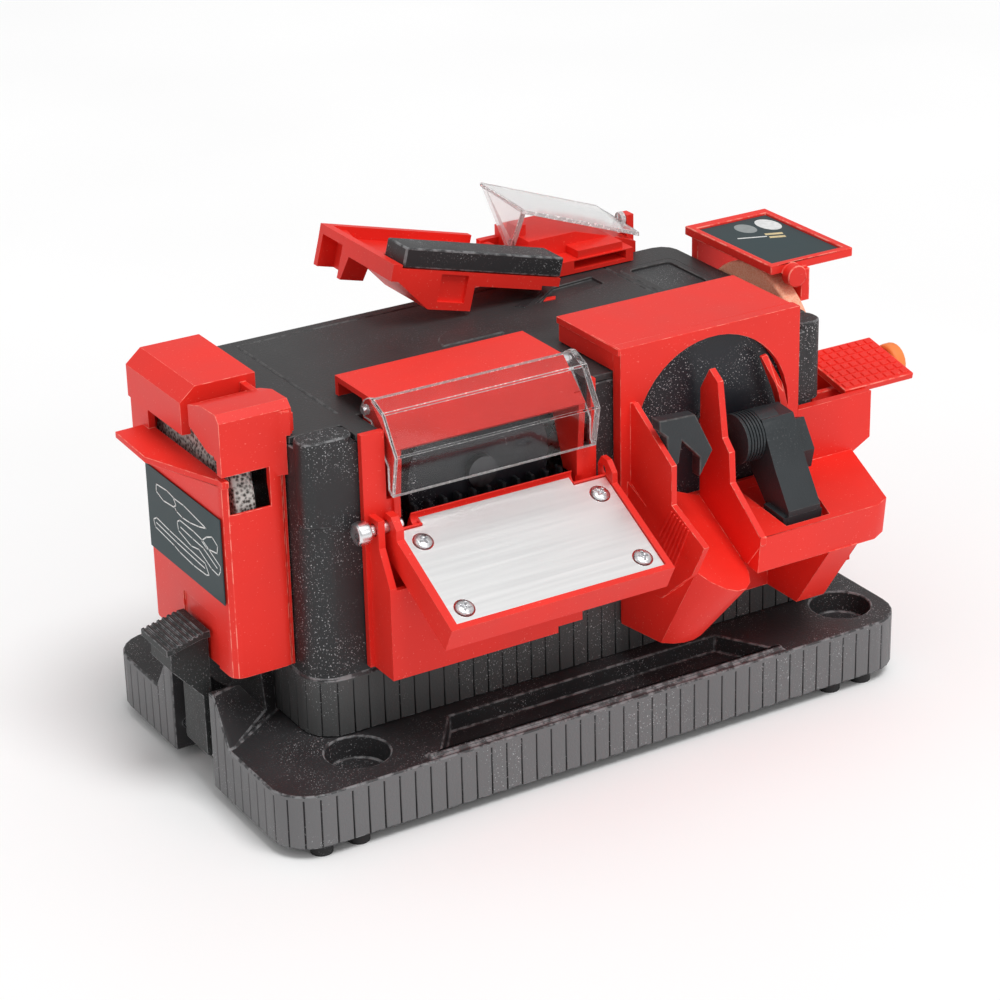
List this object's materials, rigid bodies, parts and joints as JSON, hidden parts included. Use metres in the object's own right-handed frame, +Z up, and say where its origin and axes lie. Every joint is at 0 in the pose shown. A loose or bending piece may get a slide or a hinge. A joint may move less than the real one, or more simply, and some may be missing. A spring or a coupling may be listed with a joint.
{
  "type": "drill bit sharpener",
  "caption": "Bench sharpener with knife, chisel, drill and side stations driven by one motor, with clear visors, a sloping steel rest and rubber feet.",
  "frame": {"origin": "under the middle of the whole machine, on the surface the feet stand on", "axes": "+X to the right along the front, +Y to the back, +Z up"},
  "size_m": [0.3606, 0.2184, 0.1984],
  "materials": {
    "red_plastic": "fine satin moulding",
    "black_plastic": "speckled satin moulding",
    "grey_plastic": "satin moulding",
    "rubber": "matt",
    "steel": "brushed",
    "copper": "wound wire",
    "grit": "rough abrasive",
    "pink_stone": "rough abrasive",
    "clear_plastic": "clear, polished",
    "slate_label": "printed film",
    "orange_plastic": "satin moulding"
  },
  "bodies": {
    "machine": {"base_plate": "black_plastic", "bearing_left": "steel", "bearing_plate": "steel", "bearing_right": "steel", "chisel_bearing": "steel", "chisel_housing": "red_plastic", "cord_gland": "rubber", "drill_bearing": "steel", "drill_housing": "red_plastic", "drill_v_block": "black_plastic", "foot_front_left": "rubber", "foot_front_right": "rubber", "foot_rear_left": "rubber", "foot_rear_right": "rubber", "knife_label": "slate_label", "knife_module": "red_plastic", "lever_pin": "steel", "lever_spring": "steel", "main_housing": "black_plastic", "motor_stator": "copper", "rear_bearing": "steel", "rear_housing": "red_plastic", "right_guard": "red_plastic", "right_label": "slate_label", "switch_bezel": "black_plastic", "top_cover": "grey_plastic", "tray_bolt": "steel", "visor_pin_left": "steel", "visor_pin_right": "steel"},
    "shaft": {"motor_shaft": "steel", "left_wheel": "grit", "right_wheel": "pink_stone", "left_nut": "steel", "right_nut": "steel", "shaft_gear_chisel": "steel", "shaft_gear_drill": "steel"},
    "chisel_drive": {"chisel_spindle": "steel", "chisel_disc": "grit", "chisel_spindle_gear": "steel"},
    "drill_drive": {"drill_spindle": "steel", "drill_disc": "grit", "drill_spindle_gear": "steel"},
    "rear_drive": {"rear_spindle": "steel", "rear_disc": "grit", "rear_spindle_gear": "steel"},
    "release": {"release_lever": "grey_plastic"},
    "visor": {"chisel_visor": "clear_plastic"},
    "tray": {"chisel_tray": "red_plastic", "steel_plate": "steel", "plate_screw_1": "steel", "plate_screw_2": "steel", "plate_screw_3": "steel", "plate_screw_4": "steel"},
    "guide": {"drill_guide": "black_plastic"},
    "side_tray": {"right_tray": "red_plastic"},
    "knob": {"clamp_knob": "orange_plastic"},
    "back_visor": {"rear_visor": "clear_plastic"},
    "back_rest": {"rear_rest": "red_plastic", "rear_bar": "black_plastic"},
    "rocker": {"switch_rocker": "red_plastic"}
  },
  "joints": [
    {"name": "shaft_spin", "type": "hinge", "parent": "machine", "child": "shaft", "pos_m": [-0.01475, 0.0082, 0.1295], "axis": [1, 0, 0], "continuous": true},
    {"name": "chisel_spin", "type": "hinge", "parent": "machine", "child": "chisel_drive", "pos_m": [-0.04675, 0.0082, 0.1295], "axis": [0, 1, 0], "continuous": true},
    {"name": "drill_spin", "type": "hinge", "parent": "machine", "child": "drill_drive", "pos_m": [0.06125, 0.0082, 0.1295], "axis": [0, 1, 0], "continuous": true},
    {"name": "rear_spin", "type": "hinge", "parent": "machine", "child": "rear_drive", "pos_m": [0.06125, 0.0082, 0.1295], "axis": [0, 1, 0], "continuous": true},
    {"name": "release_turn", "type": "hinge", "parent": "machine", "child": "release", "pos_m": [-0.15875, -0.0018, 0.017], "axis": [0, -1, 0], "range_deg": [0, 10], "stiffness_Nm_per_rad": 0.3, "springref_deg": -11.46},
    {"name": "visor_lift", "type": "hinge", "parent": "machine", "child": "visor", "pos_m": [-0.04675, -0.0361, 0.1654], "axis": [-1, 0, 0], "range_deg": [0, 60]},
    {"name": "tray_angle", "type": "hinge", "parent": "machine", "child": "tray", "pos_m": [-0.04475, -0.0558, 0.122], "axis": [1, 0, 0], "range_deg": [-3, 1.9]},
    {"name": "guide_feed", "type": "slide", "parent": "machine", "child": "guide", "axis": [0, 0.9942, 0.108], "range_m": [-0.0025, 0.0008]},
    {"name": "side_tray_angle", "type": "hinge", "parent": "machine", "child": "side_tray", "pos_m": [0.14625, -0.0358, 0.1245], "axis": [1, 0, 0], "range_deg": [-3, 3]},
    {"name": "knob_turn", "type": "hinge", "parent": "side_tray", "child": "knob", "pos_m": [0.17525, -0.0288, 0.1235], "axis": [1, 0, 0], "range_deg": [-90, 90]},
    {"name": "back_visor_lift", "type": "hinge", "parent": "machine", "child": "back_visor", "pos_m": [0.07025, 0.0862, 0.173], "axis": [-1, 0, 0], "range_deg": [0, 10]},
    {"name": "back_rest_lift", "type": "hinge", "parent": "machine", "child": "back_rest", "pos_m": [0.04125, 0.0822, 0.168], "axis": [0, 1, 0], "range_deg": [0, 9]},
    {"name": "switch_rock", "type": "hinge", "parent": "machine", "child": "rocker", "pos_m": [-0.08975, 0.0702, 0.086], "axis": [1, 0, 0], "range_deg": [0, 14]}
  ],
  "couplings": [
    {"joint": "chisel_spin", "follows": "shaft_spin", "ratio": 1},
    {"joint": "drill_spin", "follows": "shaft_spin", "ratio": 1},
    {"joint": "rear_spin", "follows": "shaft_spin", "ratio": -1}
  ]
}
